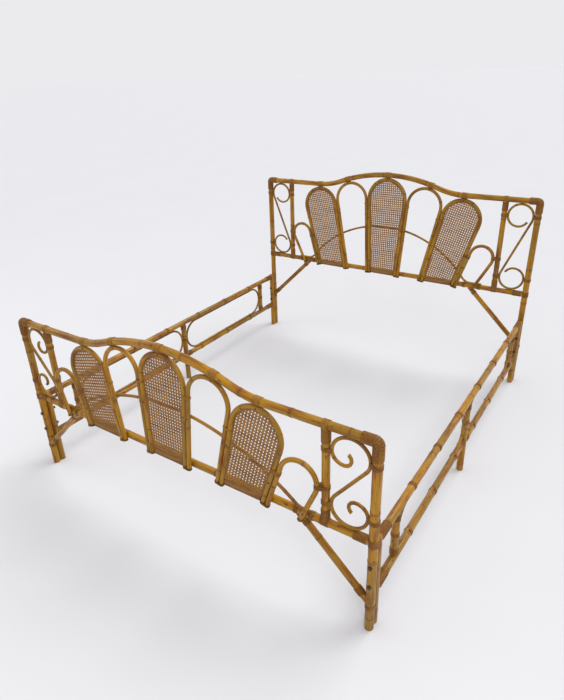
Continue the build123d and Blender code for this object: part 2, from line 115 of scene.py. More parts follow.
def edit_points(piece, chosen):
    """Edit only some points of a piece: chosen is true or false for each of them."""
    for part in (piece.data.polygons, piece.data.edges):
        part.foreach_set("select", [False] * len(part))
    piece.data.vertices.foreach_set("select", chosen)
    work_on(piece)
    bpy.ops.object.mode_set(mode="EDIT")
    bpy.ops.mesh.select_mode(type="VERT")


def leave():
    bpy.ops.object.mode_set(mode="OBJECT")


def apply_modifier(piece, kind, **settings):
    work_on(piece)
    modifier = piece.modifiers.new(kind.title(), kind)
    for name, value in settings.items():
        setattr(modifier, name, value)
    bpy.ops.object.modifier_apply(modifier=modifier.name)


def copy_of(original):
    piece = original.copy()
    piece.data = original.data.copy()
    bpy.context.scene.collection.objects.link(piece)
    return piece


print("ready to work on one piece at a time")

# %% [markdown]
# Canes and ties are long and round, so both stocks are drawn out: a disc is extruded
# along X again and again, and its end is made a little wider or narrower at each step.

# %% Draw out a round piece
def round_end(name, sides, radius):
    """A disc that faces along X, left in edit mode."""
    bpy.ops.object.select_all(action="DESELECT")
    bpy.ops.mesh.primitive_circle_add(
        vertices=sides, radius=radius, fill_type="NGON", rotation=(0, math.pi / 2, 0)
    )
    piece = bpy.context.object
    piece.name = name
    bpy.ops.object.transform_apply(location=False, rotation=True, scale=False)
    edit(piece)
    return piece


def draw_out(step, width):
    bpy.ops.mesh.extrude_region_move(TRANSFORM_OT_translate={"value": (step, 0, 0)})
    bpy.ops.transform.resize(value=(1, width, width))


def close_up():
    bpy.ops.mesh.select_all(action="SELECT")
    bpy.ops.mesh.normals_make_consistent(inside=False)
    leave()


print("round pieces can be drawn out")

# %% [markdown]
# Rattan grows in long stems with a raised ring at each joint of the stem. Every cane of the bed
# is cut from such stock, so one long straight length is modelled here, a little wider at each
# ring. The canes are copies of it, cut to length, thinned and bent. This gives each its own rings
# for little work.

# %% Stock cane
stock_length, stock_sides, stock_radius = 3.3, 20, 0.016
first_ring, nearest_rings, farthest_rings, stock_end = 0.09, 0.19, 0.34, 0.05
ring_swell, ring_groove, ring_reach, ring_clear = 1.055, 0.985, 0.007, 0.011
ring_steps = (-0.008, -0.003, -0.0009, 0.0009, 0.003, 0.008)
plain_step = 0.012


def ring_places():
    places, x = [], first_ring
    while x < stock_length - stock_end:
        places.append(x)
        x += random.uniform(nearest_rings, farthest_rings)
    return places


rings = ring_places()


def stock_stations():
    """Where the cane is drawn out to: finely at a ring, and coarsely between rings."""
    plain = [plain_step * k for k in range(1, int(stock_length / plain_step))]
    plain = [x for x in plain if all(abs(x - ring) > ring_clear for ring in rings)]
    return sorted(plain + [ring + step for ring in rings for step in ring_steps])


def width_at(x):
    """How wide the cane is: swollen at a ring, with a groove in its middle, and wavy between."""
    near = min(abs(x - ring) for ring in rings)
    if near < 0.001:
        return ring_swell * ring_groove
    if near < ring_reach:
        return ring_swell
    return 1 + 0.012 * math.sin(x * 9.1) + 0.008 * math.sin(x * 23)


stock = round_end("stock_cane", stock_sides, stock_radius)
x_now, width_now = 0.0, 1.0
for x in stock_stations():
    width = width_at(x)
    draw_out(x - x_now, width / width_now)
    x_now, width_now = x, width
close_up()
print("stock cane", len(stock.data.vertices), "points,", len(rings), "rings")

# %% [markdown]
# A material can only follow the fibres round a bend if each point remembers where it lay on the
# straight cane. That place is stored as an attribute before the bend, with a second attribute
# that marks the rings.

# %% Cut a cane from the stock
ring_mark = 0.012


def cut_from(original, start, length, thin, shift=0.0):
    """A copy of a stock piece, cut to a length along X, thinned, and moved by shift."""
    piece = copy_of(original)
    edit(piece)
    bpy.ops.transform.translate(value=(-start, 0, 0))
    for place, facing in ((0, -1), (length, 1)):
        bpy.ops.mesh.select_all(action="SELECT")
        bpy.ops.mesh.bisect(
            plane_co=(place, 0, 0), plane_no=(facing, 0, 0), use_fill=True, clear_outer=True
        )
    bpy.ops.mesh.select_all(action="SELECT")
    bpy.ops.transform.resize(value=(1, thin, thin), center_override=(0, 0, 0))
    bpy.ops.transform.translate(value=(shift, 0, 0))
    leave()
    return piece


def note_grain(piece, shift=0.0):
    """Store where each point lies on the straight piece, from a start moved by shift."""
    grain = piece.data.attributes.new("grain", "FLOAT_VECTOR", "POINT")
    for k, point in enumerate(piece.data.vertices):
        grain.data[k].vector = (point.co.x + shift, point.co.y, point.co.z)


def note_rings(piece, start):
    """Store how near each point is to a ring: 1 on it, and 0 where it's far away."""
    ring = piece.data.attributes.new("ring", "FLOAT", "POINT")
    for k, point in enumerate(piece.data.vertices):
        near = min(abs(point.co.x + start - place) for place in rings)
        ring.data[k].value = max(0.0, 1 - near / ring_mark)


def cut_cane(length, radius):
    """A straight cane along X, cut from a random place on the stock."""
    start = random.uniform(stock_end, stock_length - length - stock_end)
    piece = cut_from(stock, start, length, radius / stock_radius)
    note_grain(piece, random.uniform(0, 40))
    note_rings(piece, start)
    return piece


print("canes can be cut from", stock_length, "m of stock")

# %% [markdown]
# A straight cane is laid between two points. A bent one is drawn along its path by a Curve
# modifier, as a cane is steamed and bent over a form. The path is a chain of straight runs and
# true arcs.

# %% Lay and bend
def lay(piece, place):
    """Put a piece in its place, and keep the place in its mesh."""
    work_on(piece)
    piece.matrix_world = place
    bpy.ops.object.transform_apply(location=True, rotation=True, scale=True)
    return piece


def straight_cane(start, end, radius):
    start, end = Vector(start), Vector(end)
    run = end - start
    turn = run.to_track_quat("X", "Z").to_matrix().to_4x4()
    return lay(cut_cane(run.length, radius), Matrix.Translation(start) @ turn)


def arc(centre, radius, start, sweep, step=4):
    """Points on an arc, from angles in degrees."""
    count = max(2, round(abs(sweep) / step))
    angles = [math.radians(start + sweep * k / count) for k in range(count + 1)]
    return [(centre[0] + radius * math.cos(a), centre[1] + radius * math.sin(a)) for a in angles]


def path_length(points):
    return sum((Vector(b) - Vector(a)).length for a, b in zip(points, points[1:]))


def distinct(points):
    kept = [points[0]]
    for point in points[1:]:
        if (Vector(point) - Vector(kept[-1])).length > 1e-5:
            kept.append(point)
    return kept


def bend(piece, points):
    """Bend a piece that lies along X so that it follows the points, which lie flat."""
    points = distinct(points)
    data = bpy.data.curves.new("path", "CURVE")
    data.dimensions = "3D"
    data.twist_mode = "Z_UP"
    spline = data.splines.new("POLY")
    spline.points.add(len(points) - 1)
    for knot, (u, v) in zip(spline.points, points):
        knot.co = (u, v, 0, 1)
    path = bpy.data.objects.new("path", data)
    bpy.context.scene.collection.objects.link(path)
    apply_modifier(piece, "CURVE", object=path, deform_axis="POS_X")
    bpy.data.objects.remove(path)
    return piece


def bent_cane(points, place, radius):
    """A cane bent along points in a plane that is given by its matrix."""
    return lay(bend(cut_cane(path_length(points), radius), points), place)


print("canes can be cut, laid and bent")

# %% [markdown]
# Three planes carry the bent canes: the upright plane of a board, the plane of its arches, which
# leans from in front of the low rail to under the top rail, and the upright plane of a side
# frame.

# %% Planes of the boards and side frames
def turned(across, up, facing):
    """The turn that takes X, Y and Z to three directions."""
    return Matrix((across, up, facing)).transposed().to_4x4()


def plane(origin, across, up):
    across, up = Vector(across).normalized(), Vector(up).normalized()
    return Matrix.Translation(origin) @ turned(across, up, across.cross(up))


def board_plane(board):
    return plane((0, board["y"], board["low"]), (1, 0, 0), (0, 0, 1))


def arch_plane(board, setback=0.0):
    offset = low_rail_radius + arch_radius + touch
    crown = board["height"] - board["low"] + crown_rise - top_rail_radius - arch_radius
    lean = math.atan2(offset, crown)
    up = Vector((0, math.sin(lean), math.cos(lean)))
    back = Vector((0, math.cos(lean), -math.sin(lean)))
    origin = Vector((0, board["y"] - offset, board["low"])) + back * setback
    return plane(origin, (1, 0, 0), up)


def side_plane(side):
    return plane((side * half_width, 0, 0), (0, 1, 0), (0, 0, 1))


print("arch plane of the foot board", arch_plane(boards["foot"]).translation)

# %% [markdown]
# The paths repeat the bends of the frame. A top rail or a bow rises through two hollows to a round
# crown. An arch is a round top on two leaning legs, and it's raised step by step until its crown
# meets the top rail.

# %% Path of a rail and round of an arch
def swept_crown(level, run, rise, hollow, reach):
    """A level cane that rises through two hollows to a round crown."""
    angle = 2 * math.atan2(rise, run)
    crown = run / math.sin(angle) - hollow
    sweep = math.degrees(angle)
    up = arc((-run, level + hollow), hollow, -90, sweep, 2)
    over = arc((0, level + rise - crown), crown, 90 + sweep, -2 * sweep, 1)
    down = arc((run, level + hollow), hollow, -90 - sweep, sweep, 2)
    return [(-reach, level), *up, *over, *down, (reach, level)]


def arch_circle(legs, height):
    """The middle and radius of the round top that joins two leaning legs at a height."""
    (left, lean_left), (right, lean_right) = legs
    cos_left, sin_left = math.cos(math.radians(lean_left)), math.sin(math.radians(lean_left))
    cos_right, sin_right = math.cos(math.radians(lean_right)), math.sin(math.radians(lean_right))
    reach_left = left * cos_left + height * sin_left
    reach_right = right * cos_right + height * sin_right
    spread = cos_left * (1 + sin_right) + cos_right * (1 - sin_left)
    radius = (reach_right * cos_left - reach_left * cos_right) / spread
    middle = (reach_left * (1 + sin_right) + reach_right * (1 - sin_left)) / spread
    return (middle, height - radius), radius


def rail_path(board, reach=half_width):
    level = board["height"] - board["low"]
    return swept_crown(level, crown_run, crown_rise, hollow_radius, reach)


def nearest(point, points):
    return Vector(min(points, key=lambda p: (Vector(p) - Vector(point)).length))


def crown_height(legs, board):
    """How high an arch has to be for its crown to meet the top rail."""
    rail, height = rail_path(board), board["height"] - board["low"]
    for _ in range(20):
        centre, radius = arch_circle(legs, height)
        free = (nearest(centre, rail) - Vector(centre)).length
        height += free - radius - top_rail_radius - arch_radius - touch
    return height


print("a top rail bends at", len(rail_path(boards["foot"])) - 2, "points")

# %% [markdown]
# The legs of neighbouring arches lie side by side, so each arch starts beside the leg of the one
# nearer the middle. The outer legs lean more and more, which spreads the arches like a fan.

# %% Paths of the arches
def arch_path(legs, height, overrun=leg_overrun):
    centre, radius = arch_circle(legs, height)
    leans = [lean for _, lean in legs]
    feet = [(foot - overrun * math.tan(math.radians(lean)), -overrun) for foot, lean in legs]
    round_top = arc(centre, radius, 180 - leans[0], leans[0] - leans[1] - 180)
    return [feet[0], *round_top, feet[1]]


def beside(leg):
    """The place of a leg that lies against another and leans as it does."""
    foot, lean = leg
    return foot + leg_pitch / math.cos(math.radians(lean)), lean


def arch_legs(board):
    """For each arch, the foot and the lean in degrees of its two legs."""
    centre, opened, side = (0.088, 3.6), (0.246, 11.5), (0.450, 17.0)
    small = (board["small_foot"], board["small_lean"])
    return {
        "centre": ((-centre[0], -centre[1]), centre),
        "open": (beside(centre), opened),
        "side": (beside(opened), side),
        "small": (beside(side), small),
    }


def arch_heights(board):
    legs = arch_legs(board)
    heights = {name: crown_height(legs[name], board) for name in ("centre", "open", "side")}
    return heights | {"small": board["small_top"]}


for name, board in boards.items():
    print(name, {k: round(v, 4) for k, v in arch_heights(board).items()})

# %% [markdown]
# A scroll fills the space between a stile and its post. It has a large round at the top and
# another at the foot, joined by a straight slant, and each end runs into a curl and then a hook.

# %% Path of a scroll
def scroll_rounds(board):
    inner, outer = stile_spread + stile_radius, half_width - post_radius
    gap = rod_radius + 2 * touch
    middle, radius = (inner + outer) / 2, (outer - inner) / 2 - gap
    top = board["height"] - board["low"] - top_rail_radius - gap - radius
    return middle, radius, top, low_rail_radius + gap + radius


def scroll_path(board):
    middle, radius, top, bottom = scroll_rounds(board)
    curl = board["curl"]
    slant = math.degrees(math.asin(2 * radius / (top - bottom)))
    hook, turn = board["hook"], board["tip"]
    tip = arc((middle - radius + curl, top - curl + hook), hook, 270 + turn, -turn)
    inward = arc((middle - radius + curl, top), curl, 270, -90)
    over = arc((middle, top), radius, 180, -180 - slant)
    under = arc((middle, bottom), radius, 180 - slant, 180 + slant)
    outward = arc((middle + radius - curl, bottom), curl, 0, 90)
    tail = arc((middle + radius - curl, bottom + curl - hook), hook, 90, turn)
    return [*tip, *inward, *over, *under, *outward, *tail]


print("a scroll's rounds have a radius of", round(scroll_rounds(boards["foot"])[1], 4), "m")

# %% [markdown]
# The camera stands where the photographer stood: a little above the bed, to the right of the
# low end, and looking down its length. A pale floor, a large soft lamp on each side, a sun that
# is as soft as a cloudy sky, and a pale sky give the even light of a studio.

# %% Camera, floor and light
camera_place = Vector((1.3509, -2.1885, 1.7143))
looking = Vector((-0.52307525, 0.73675949, -0.42845972))
above = Vector((-0.21431993, 0.37285841, 0.90279764))

camera_data = bpy.data.cameras.new("camera")
camera_data.lens, camera_data.sensor_width = 28.53, 36
camera_data.shift_x, camera_data.shift_y = 0.0155, -0.0201
camera = bpy.data.objects.new("camera", camera_data)
bpy.context.scene.collection.objects.link(camera)
turn = turned(looking.cross(above), above, -looking)
camera.matrix_world = Matrix.Translation(camera_place) @ turn
bpy.context.scene.camera = camera


def soft_lamp(name, place, size, power, aim=(0, 0, 0.4)):
    lamp_data = bpy.data.lights.new(name, "AREA")
    lamp_data.shape, lamp_data.size, lamp_data.energy = "SQUARE", size, power
    lamp = bpy.data.objects.new(name, lamp_data)
    lamp.location = place
    lamp.rotation_euler = (Vector(aim) - Vector(place)).to_track_quat("-Z", "Y").to_euler()
    bpy.context.scene.collection.objects.link(lamp)


soft_lamp("key_lamp", (2.4, -3.0, 3.4), 0.9, 26)
soft_lamp("fill_lamp", (-3.2, -1.2, 2.8), 1.4, 8)
sun_data = bpy.data.lights.new("sun", "SUN")
sun_data.energy, sun_data.angle = 1.5, math.radians(34)
sun = bpy.data.objects.new("sun", sun_data)
sun.rotation_euler = (math.radians(-30), math.radians(14), 0)
bpy.context.scene.collection.objects.link(sun)
world = bpy.data.worlds.new("studio")
bpy.context.scene.world = world
world.use_nodes = True
world.node_tree.nodes["Background"].inputs["Color"].default_value = (0.975, 0.975, 1, 1)
world.node_tree.nodes["Background"].inputs["Strength"].default_value = 0.85
bpy.context.scene.view_settings.view_transform = "Standard"

floor_size, floor_gap = 600, 0.0005
bpy.ops.mesh.primitive_plane_add(size=floor_size, location=(0, 0, -floor_gap))
floor = bpy.context.object
floor.name = "studio_floor"
print("camera at", tuple(round(v, 3) for v in camera_place))

# %% [markdown]
# A material is a tree of shader nodes. These helpers each make one node and join its inputs, so a
# finish can be written down in a few lines: a blend of two colours, a ramp between two values, or
# a noise that is stretched along the fibres.

# %% Node helpers
def colour(code):
    parts = [int(code[k:k + 2], 16) / 255 for k in (0, 2, 4)]
    return (*[c / 12.92 if c <= 0.04045 else ((c + 0.055) / 1.055) ** 2.4 for c in parts], 1)


def set_inputs(tree, node, inputs):
    """Join each input to a socket, or set it to a number or to a colour given by its code."""
    for key, value in inputs.items():
        if isinstance(value, bpy.types.NodeSocket):
            tree.links.new(value, node.inputs[key])
        else:
            node.inputs[key].default_value = colour(value) if isinstance(value, str) else value


def put(tree, kind, inputs, **settings):
    """A new node with its settings and its inputs."""
    node = tree.nodes.new(kind)
    for name, value in settings.items():
        setattr(node, name, value)
    set_inputs(tree, node, inputs)
    return node


def calc(tree, operation, first, second=0.0, third=0.0):
    inputs = {0: first, 1: second, 2: third}
    return put(tree, "ShaderNodeMath", inputs, operation=operation).outputs[0]


def times(tree, first, second):
    return calc(tree, "MULTIPLY", first, second)


def ramp(tree, value, low, high, start=0.0, end=1.0):
    inputs = {"Value": value, "From Min": low, "From Max": high, "To Min": start, "To Max": end}
    return put(tree, "ShaderNodeMapRange", inputs).outputs["Result"]


def blend(tree, share, first, second):
    inputs = {0: share, 6: first, 7: second}
    return put(tree, "ShaderNodeMix", inputs, data_type="RGBA").outputs[2]


def noise(tree, vector, scale, detail=2.0):
    inputs = {"Vector": vector, "Scale": scale, "Detail": detail}
    return put(tree, "ShaderNodeTexNoise", inputs).outputs["Fac"]


def stretched_noise(tree, vector, along, across, detail=3.0):
    stretch = {0: vector, 1: (along, across, across)}
    scaled = put(tree, "ShaderNodeVectorMath", stretch, operation="MULTIPLY")
    return noise(tree, scaled.outputs[0], 1.0, detail)


print("nodes can be made and joined")

# %% [markdown]
# Every finish of the bed starts from the same thing: plant fibre that runs along a strip or a
# cane. A shader node group gives its fine streaks, its broad patches and its dark spots as
# plain masks. Each material then mixes its own colours with them.

# %% Fibre group
# For each mask: its noise along and across the fibres, its detail, and where it starts and ends.
fibre_masks = {
    "Streak": (14, 900, 4.0, 0.32, 0.68),
    "Patch": (9, 55, 2.0, 0.46, 0.66),
    "Spot": (55, 130, 2.0, 0.64, 0.74),
    "Tone": (1.6, 4, 1.0, 0.42, 0.64),
}
fibre = bpy.data.node_groups.new("plant_fibre", "ShaderNodeTree")
fibre.interface.new_socket(name="Place", in_out="INPUT", socket_type="NodeSocketVector")
for mask in fibre_masks:
    fibre.interface.new_socket(name=mask, in_out="OUTPUT", socket_type="NodeSocketFloat")
taken, given = fibre.nodes.new("NodeGroupInput"), fibre.nodes.new("NodeGroupOutput")
for mask, (along, across, detail, low, high) in fibre_masks.items():
    grains = stretched_noise(fibre, taken.outputs["Place"], along, across, detail)
    set_inputs(fibre, given, {mask: ramp(fibre, grains, low, high)})
print("fibre group", list(fibre_masks))

# %% [markdown]
# The poles are varnished golden rattan. Long stretches are more olive than others, the varnish
# has pooled into brown patches, dark spots mark where the bark was scraped, and each growth ring
# has a thin dark line. The clear coat gives the long soft highlights that run down every pole in
# the photograph.

# %% Cane finishes
def start_material(name):
    material = bpy.data.materials.new(name)
    material.use_nodes = True
    return material, material.node_tree, material.node_tree.nodes["Principled BSDF"]


def read_attribute(tree, name):
    return put(tree, "ShaderNodeAttribute", {}, attribute_name=name)


def place_fibre(tree, place):
    group = tree.nodes.new("ShaderNodeGroup")
    group.node_tree = fibre
    tree.links.new(place, group.inputs["Place"])
    return group.outputs


def bump(tree, shader, height, distance):
    raised = put(tree, "ShaderNodeBump", {"Height": height, "Distance": distance})
    tree.links.new(raised.outputs[0], shader.inputs["Normal"])


def cane_material(name, light, dark, patched, spotted, olive, shine):
    material, tree, shader = start_material(name)
    masks = place_fibre(tree, read_attribute(tree, "grain").outputs["Vector"])
    ring = read_attribute(tree, "ring").outputs["Fac"]
    line = ramp(tree, ring, 0.86, 0.98)
    halo = times(tree, ramp(tree, ring, 0.2, 0.9), 0.45)
    base = blend(tree, masks["Streak"], light, dark)
    base = blend(tree, times(tree, masks["Tone"], 0.6), base, olive)
    base = blend(tree, times(tree, masks["Patch"], 0.8), base, patched)
    base = blend(tree, halo, base, patched)
    base = blend(tree, times(tree, masks["Spot"], 0.85), base, spotted)
    base = blend(tree, times(tree, line, 0.8), base, spotted)
    set_inputs(tree, shader, {
        "Base Color": base, "Roughness": ramp(tree, masks["Patch"], 0, 1, 0.30, 0.44),
        "Coat Weight": shine, "Coat Roughness": 0.12, "Specular IOR Level": 0.15,
    })
    height = calc(tree, "SUBTRACT", times(tree, masks["Streak"], 0.3), line)
    bump(tree, shader, height, 0.0004)
    return material


pole_finish = cane_material("varnished_pole", "BE8A06", "8C5C03", "743A08", "221003", "76601C", 0.36)
rod_finish = cane_material("golden_rod", "B07E18", "865C0C", "6A400E", "281404", "6C5624", 0.24)
print("finishes", pole_finish.name, rod_finish.name)

# %% [markdown]
# The ties are long strips peeled from the bark, wound side by side, and stained a reddish brown.
# The bands over the arches are paler. The ties at the feet of the legs get a nearly black copy of
# the strip, which is painted shade from the low rail above them. Their colour follows the place
# along the winding, so each turn has its own tone, and a painted shadow line in the groove parts it
# from the next. The angle round the cane is added, so the turns climb.

# %% Wound strip finish
turn_pitch = 0.004


def share_of(tree, value, pitch):
    """How far a place is through its own turn or cell, from 0 to 1."""
    return calc(tree, "FRACT", calc(tree, "DIVIDE", value, pitch))


def off_middle(tree, share):
    return calc(tree, "ABSOLUTE", calc(tree, "SUBTRACT", share, 0.5))


def binding_material(name, light, dark, deep):
    material, tree, shader = start_material(name)
    grain = read_attribute(tree, "grain").outputs["Vector"]
    parts = put(tree, "ShaderNodeSeparateXYZ", {0: grain}).outputs
    angle = calc(tree, "ARCTAN2", parts["Z"], parts["Y"])
    turns = calc(tree, "DIVIDE", parts["X"], turn_pitch)
    climb = calc(tree, "MULTIPLY_ADD", angle, 1 / math.tau, turns)
    groove = ramp(tree, off_middle(tree, calc(tree, "FRACT", climb)), 0.34, 0.5)
    masks = place_fibre(tree, grain)
    base = blend(tree, ramp(tree, noise(tree, grain, 210.0), 0.3, 0.7), light, dark)
    base = blend(tree, times(tree, masks["Patch"], 0.5), base, "A06E1E")
    # Painted shade: the groove between two turns is darkened toward the deep colour.
    base = blend(tree, groove, base, deep)
    set_inputs(tree, shader, {
        "Base Color": base, "Roughness": ramp(tree, groove, 0, 1, 0.4, 0.7),
        "Coat Weight": 0.1, "Coat Roughness": 0.25, "Specular IOR Level": 0.25,
    })
    bump(tree, shader, times(tree, groove, -1.0), 0.0006)
    return material


strip_finish = binding_material("stained_strip", "96600E", "5C370A", "2E1806")
pale_finish = binding_material("pale_strip", "A8761A", "7E500E", "4A2C0C")
# Painted shade: this nearly black copy of the strip is for the foot ties, which sit in the shade under
# the low rail.
shaded_strip_finish = binding_material("painted_shade_strip", "704A14", "40280A", "1E1004")
print("finishes", strip_finish.name, pale_finish.name, shaded_strip_finish.name)

# %% [markdown]
# The webbing is narrow split cane, duller than the poles. Its open field and its close border
# share one material. The border adds fine lines across it, and a stitch line at each crossing of
# the field. Both are painted darker, as painted shade in the gaps between strands. An attribute
# called close says where those belong.

# %% Webbing finish
web_pitch = 0.0127


def webbing_material():
    material, tree, shader = start_material("split_cane")
    grain = read_attribute(tree, "grain").outputs["Vector"]
    close = read_attribute(tree, "close").outputs["Fac"]
    masks = place_fibre(tree, grain)
    parts = put(tree, "ShaderNodeSeparateXYZ", {0: grain}).outputs
    along = off_middle(tree, share_of(tree, parts["X"], web_pitch / 6))
    over = off_middle(tree, share_of(tree, parts["Y"], web_pitch / 5))
    gap = calc(tree, "MAXIMUM", ramp(tree, along, 0.36, 0.5), ramp(tree, over, 0.36, 0.5))
    stitch = ramp(tree, off_middle(tree, share_of(tree, parts["X"], web_pitch)), 0.40, 0.46)
    gap = times(tree, calc(tree, "MAXIMUM", gap, stitch), close)
    base = blend(tree, masks["Streak"], "AC7E3C", "865A2A")
    base = blend(tree, times(tree, masks["Patch"], 0.6), base, "6A4424")
    # Painted shade: the gaps between strands and the stitch lines of the close weave are darkened.
    base = blend(tree, times(tree, gap, 0.4), base, "4A2E14")
    set_inputs(tree, shader, {
        "Base Color": base, "Roughness": ramp(tree, gap, 0, 1, 0.5, 0.8),
        "Specular IOR Level": 0.25,
    })
    bump(tree, shader, times(tree, gap, -1.0), 0.0005)
    return material


web_finish = webbing_material()
print("finish", web_finish.name)

# %% [markdown]
# The bolts are plain steel with a fine brushed grain, darker where dust has settled, and the
# nails are the same steel gone brown with rust. The floor is pale matt paper with almost no
# texture, as in a studio.

# %% Steel and floor
def steel_material(name, light, dark, metal):
    material, tree, shader = start_material(name)
    place = put(tree, "ShaderNodeTexCoord", {}).outputs["Object"]
    brushed = stretched_noise(tree, place, 1500, 90)
    dust = ramp(tree, noise(tree, place, 160.0), 0.35, 0.7)
    set_inputs(tree, shader, {
        "Base Color": blend(tree, dust, light, dark),
        "Roughness": ramp(tree, brushed, 0.3, 0.7, 0.28, 0.5), "Metallic": metal,
    })
    bump(tree, shader, brushed, 0.0001)
    return material


def floor_material():
    material, tree, shader = start_material("pale_paper")
    cloud = noise(tree, put(tree, "ShaderNodeTexCoord", {}).outputs["Object"], 1.3)
    paper = blend(tree, cloud, "D2D2D4", "D6D6D8")
    set_inputs(tree, shader, {"Base Color": paper, "Roughness": 0.9})
    return material


steel_finish = steel_material("dull_steel", "5E564C", "2C2620", 1.0)
nail_finish = steel_material("rusty_nail", "3C2010", "1A0C04", 0.35)
floor.data.materials.append(floor_material())
for name in ("frame_bolts", "frame_nuts"):
    node_object = frame["nodes"][name]
    node_object.data.materials.clear()
    node_object.data.materials.append(steel_finish)
print("steel on the bolts and nuts")

# %% [markdown]
# A finished piece gets its material, rides on the bed's one body, and stands for the node whose
# place it takes. Doing that in one helper keeps the steps below short.

# %% Hand over a finished piece
made, smooth_below = [], math.radians(50)


def finish(piece, material, node):
    piece.name = f"{node}_piece"
    if material:
        piece.data.materials.append(material)
    work_on(piece)
    bpy.ops.object.shade_smooth_by_angle(angle=smooth_below)
    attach(piece, "root")
    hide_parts(node)
    made.append(node)
    return piece


def join(pieces):
    bpy.ops.object.select_all(action="DESELECT")
    for piece in pieces:
        piece.select_set(True)
    bpy.context.view_layer.objects.active = pieces[0]
    bpy.ops.object.join()
    return pieces[0]


def pole(piece, node):
    return finish(piece, pole_finish, node)


def rod(piece, node):
    return finish(piece, rod_finish, node)


print("ready to hand over")

# %% [markdown]
# The straight poles come first: posts, low rails, stiles and braces. Each end runs a little way
# into its neighbour, because a real pole is hollowed at its end to sit round the other one. Under
# a winding it runs in deeper.

# %% Straight poles of the boards
side_names = {-1: "left", 1: "right"}
cope, deep_cope = 0.006, 0.014


def brace_line(board, side):
    """The two ends of a brace's axis, and the way from the upper to the lower."""
    x, y = side * half_width, board["y"]
    upper = Vector((x - side * board["brace_run"], y, board["low"]))
    lower = Vector((x, y, board["brace_z"]))
    return upper, lower, (lower - upper).normalized()


for end, board in boards.items():
    y, low, top = board["y"], board["low"], board["height"]
    reach = half_width - post_radius + cope
    pole(straight_cane((-reach, y, low), (reach, y, low), low_rail_radius), f"{end}_lower_rail")
    stile_foot, stile_top = low + low_rail_radius - cope, top - top_rail_radius + cope
    for side, word in side_names.items():
        x, inner = side * half_width, side * stile_spread
        post = straight_cane((x, y, 0), (x, y, top - deep_cope), post_radius)
        pole(post, f"{end}_post_{word}")
        stile = straight_cane((inner, y, stile_foot), (inner, y, stile_top), stile_radius)
        pole(stile, f"{end}_stile_{word}")
        upper, lower, way = brace_line(board, side)
        brace = straight_cane(upper + way * deep_cope, lower - way * deep_cope, brace_radius)
        pole(brace, f"{end}_brace_{word}")
print("poles", len(made))

# %% [markdown]
# The bent canes of a board follow. The top rail and the thin arc rod rise to a crown, the
# arches stand side by side in one leaning plane, and a thin rod is scrolled between each stile
# and its post.

# %% Bent canes of the boards
thin_rod_radius = rod_radius + rod_swell
rail_end, bow_end = 0.010, 0.040


def bow_points(board):
    reach = board["small_foot"] + bow_end
    return swept_crown(bow_level, board["bow_run"], board["bow_rise"], bow_bend, reach)


def other_side(points, side):
    return [(side * u, v) for u, v in points]


for end, board in boards.items():
    rail = bent_cane(rail_path(board, half_width - rail_end), board_plane(board), top_rail_radius)
    pole(rail, f"{end}_top_rail")
    bow = bent_cane(bow_points(board), arch_plane(board, bow_setback), thin_rod_radius)
    rod(bow, f"{end}_arc_rod")
    legs, heights, leaning = arch_legs(board), arch_heights(board), arch_plane(board)
    middle = arch_path(legs["centre"], heights["centre"])
    pole(bent_cane(middle, leaning, arch_radius), f"{end}_centre_arch")
    for side, word in side_names.items():
        for name in ("open", "side", "small"):
            points = other_side(arch_path(legs[name], heights[name]), side)
            pole(bent_cane(points, leaning, arch_radius), f"{end}_{name}_arch_{word}")
        points = other_side(scroll_path(board), side)
        rod(bent_cane(points, board_plane(board), thin_rod_radius), f"{end}_scroll_{word}")
print("poles and rods", len(made))

# %% [markdown]
# Each side frame is two rails, a middle leg, two uprights by the posts and two by the loops.
# The loops are thin rods bent right round and closed under a tie.

# %% Side frames
loop_corner = rod_radius + 0.0006
loop_radius = (side_rail_height - side_low_rail_height) / 2 - side_rail_radius - loop_corner
loop_near = side_upright_radius + loop_corner + loop_radius
loop_far = inner_upright_y - inner_upright_radius - loop_corner - loop_radius
loop_seam = (loop_near + loop_far) / 2
loop_level = (side_rail_height + side_low_rail_height) / 2
upright_top, inner_cope = 0.015, 0.009


def loop_points():
    low = (loop_seam, loop_level - loop_radius)
    far = arc((loop_far, loop_level), loop_radius, -90, 180)
    near = arc((loop_near, loop_level), loop_radius, 90, 180)
    return [low, *far, *near, low]


def uprights(x, y, bottom, top, radius):
    return join([straight_cane((x, s * y, bottom), (x, s * y, top), radius) for s in (-1, 1)])


for side, word in side_names.items():
    x, low, top = side * half_width, side_low_rail_height, side_rail_height
    end_y, gap = end_upright_y - side_upright_radius + cope, side_upright_radius - cope
    rail = straight_cane((x, -end_y, top), (x, end_y, top), side_rail_radius)
    pole(rail, f"{word}_side_top_rail")
    halves = [
        straight_cane((x, s * gap, low), (x, s * end_y, low), side_rail_radius) for s in (-1, 1)
    ]
    pole(join(halves), f"{word}_side_lower_rails")
    leg = straight_cane((x, 0, 0), (x, 0, top - side_rail_radius + cope), side_upright_radius)
    pole(leg, f"{word}_middle_leg")
    ends = uprights(x, end_upright_y, 0, top + upright_top, side_upright_radius)
    pole(ends, f"{word}_end_uprights")
    bottom, upper = low + inner_cope, top - inner_cope
    pole(uprights(x, inner_upright_y, bottom, upper, inner_upright_radius), f"{word}_inner_uprights")
    loops = [
        bent_cane(other_side(loop_points(), s), side_plane(side), thin_rod_radius) for s in (-1, 1)
    ]
    rod(join(loops), f"{word}_side_loops")
print("with the side frames", len(made))

# %% [markdown]
# A tie is a strip wound tightly round one or more canes. Its stock is a long sleeve, drawn out
# turn by turn: in at each groove between two turns, and out at each turn's own round back.

# %% Stock sleeve
sleeve_radius, sleeve_sides, sleeve_length = 0.017, 24, 0.20
groove_depth, groove_share = 0.035, 0.22

